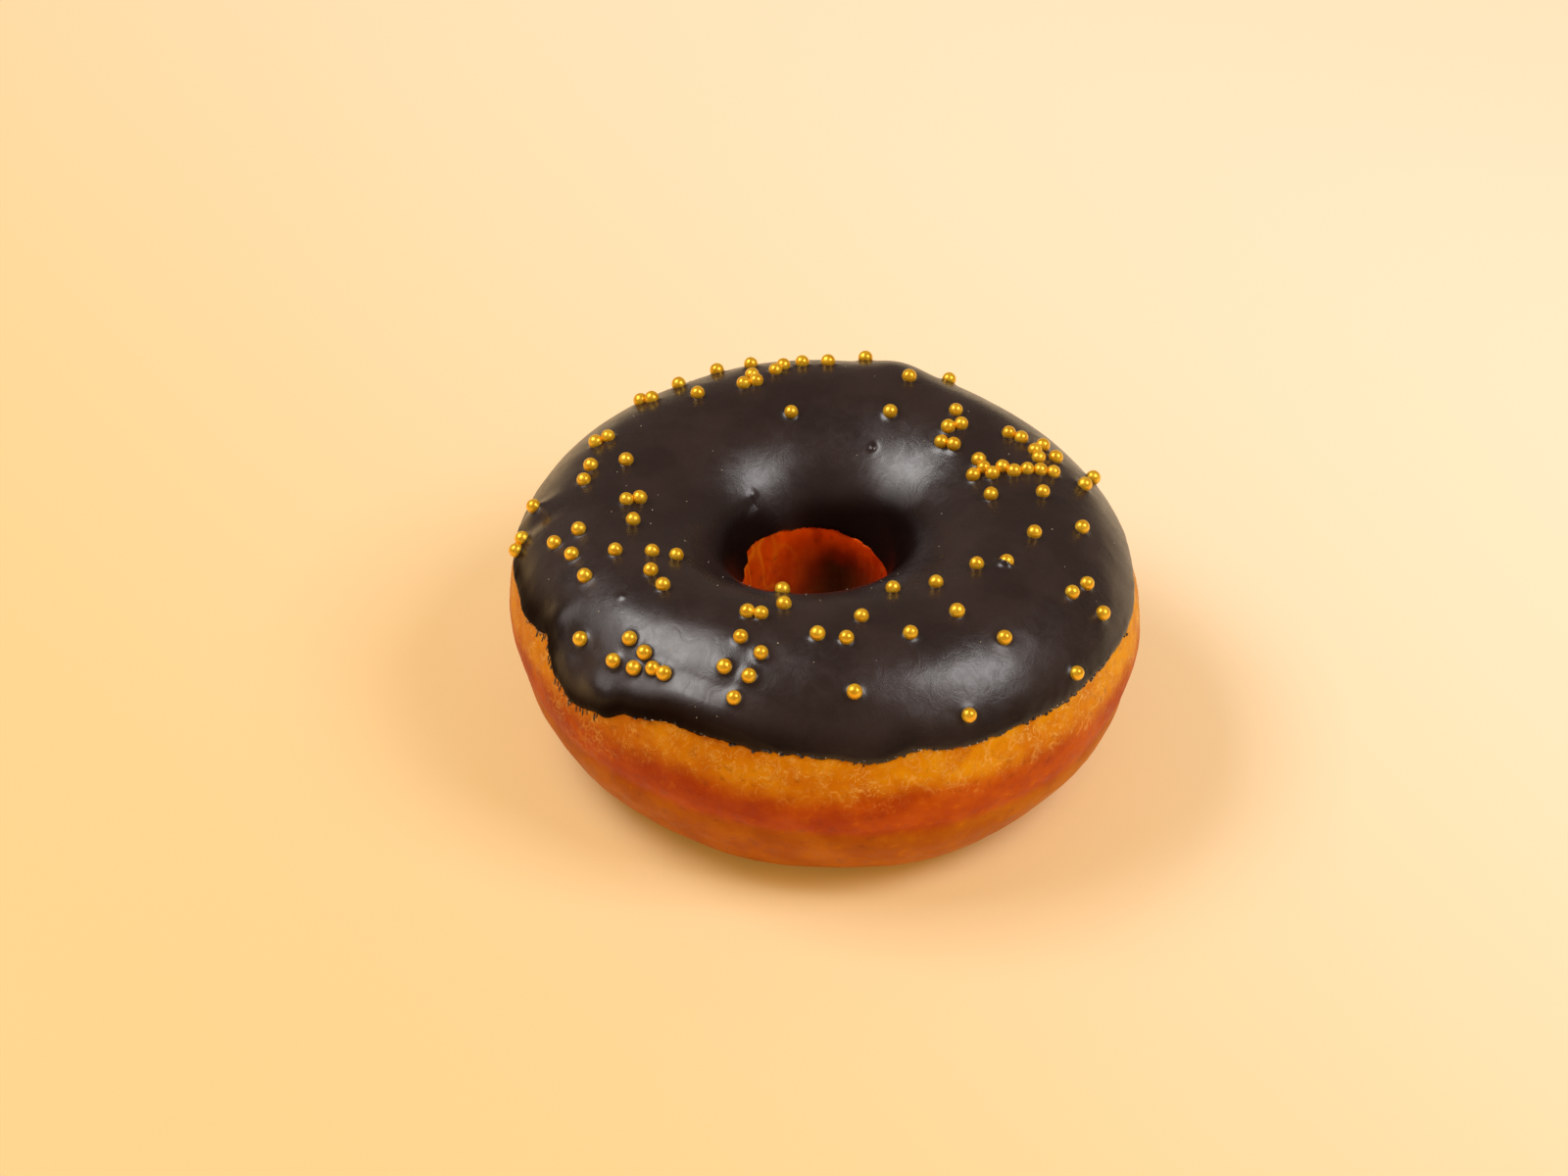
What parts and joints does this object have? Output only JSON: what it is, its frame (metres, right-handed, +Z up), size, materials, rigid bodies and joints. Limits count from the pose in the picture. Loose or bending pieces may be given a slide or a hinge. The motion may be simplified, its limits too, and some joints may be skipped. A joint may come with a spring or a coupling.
{
  "type": "ring doughnut",
  "caption": "Fried ring doughnut with a dark chocolate glaze over its upper half and gold sugar pearls set in the glaze.",
  "frame": {"origin": "on the ring's axis, in the plane that the doughnut rests on", "axes": "+Z up along the ring's axis; +X to the right and +Y away from a viewer in front"},
  "size_m": [0.088, 0.088, 0.0399],
  "materials": {
    "fried_dough": "satin fried crust, golden brown with a lighter band",
    "chocolate_glaze": "satin-gloss dark chocolate",
    "sugar_pearl": "pearlescent gold sugar"
  },
  "bodies": {
    "root": {"chocolate_glaze": "chocolate_glaze", "dough_ring": "fried_dough", "pearl_cluster_01": "sugar_pearl", "pearl_cluster_02": "sugar_pearl", "pearl_cluster_03": "sugar_pearl", "pearl_cluster_04": "sugar_pearl", "pearl_cluster_05": "sugar_pearl", "pearl_cluster_06": "sugar_pearl", "pearl_cluster_07": "sugar_pearl", "pearl_cluster_08": "sugar_pearl", "pearl_cluster_09": "sugar_pearl", "pearl_cluster_10": "sugar_pearl", "pearl_cluster_11": "sugar_pearl", "pearl_cluster_12": "sugar_pearl", "pearl_cluster_13": "sugar_pearl", "sugar_pearl_01": "sugar_pearl", "sugar_pearl_02": "sugar_pearl", "sugar_pearl_03": "sugar_pearl", "sugar_pearl_04": "sugar_pearl", "sugar_pearl_05": "sugar_pearl", "sugar_pearl_06": "sugar_pearl", "sugar_pearl_07": "sugar_pearl", "sugar_pearl_08": "sugar_pearl", "sugar_pearl_09": "sugar_pearl", "sugar_pearl_10": "sugar_pearl", "sugar_pearl_11": "sugar_pearl", "sugar_pearl_12": "sugar_pearl", "sugar_pearl_13": "sugar_pearl", "sugar_pearl_14": "sugar_pearl", "sugar_pearl_15": "sugar_pearl", "sugar_pearl_16": "sugar_pearl", "sugar_pearl_17": "sugar_pearl", "sugar_pearl_18": "sugar_pearl", "sugar_pearl_19": "sugar_pearl", "sugar_pearl_20": "sugar_pearl", "sugar_pearl_21": "sugar_pearl", "sugar_pearl_22": "sugar_pearl", "sugar_pearl_23": "sugar_pearl", "sugar_pearl_24": "sugar_pearl", "sugar_pearl_25": "sugar_pearl", "sugar_pearl_26": "sugar_pearl", "sugar_pearl_27": "sugar_pearl", "sugar_pearl_28": "sugar_pearl", "sugar_pearl_29": "sugar_pearl", "sugar_pearl_30": "sugar_pearl", "sugar_pearl_31": "sugar_pearl", "sugar_pearl_32": "sugar_pearl", "sugar_pearl_33": "sugar_pearl", "sugar_pearl_34": "sugar_pearl", "sugar_pearl_35": "sugar_pearl", "sugar_pearl_36": "sugar_pearl", "sugar_pearl_37": "sugar_pearl", "sugar_pearl_38": "sugar_pearl", "sugar_pearl_39": "sugar_pearl", "sugar_pearl_40": "sugar_pearl", "sugar_pearl_41": "sugar_pearl", "sugar_pearl_42": "sugar_pearl", "sugar_pearl_43": "sugar_pearl", "sugar_pearl_44": "sugar_pearl", "sunken_pearl": "sugar_pearl"}
  },
  "joints": []
}
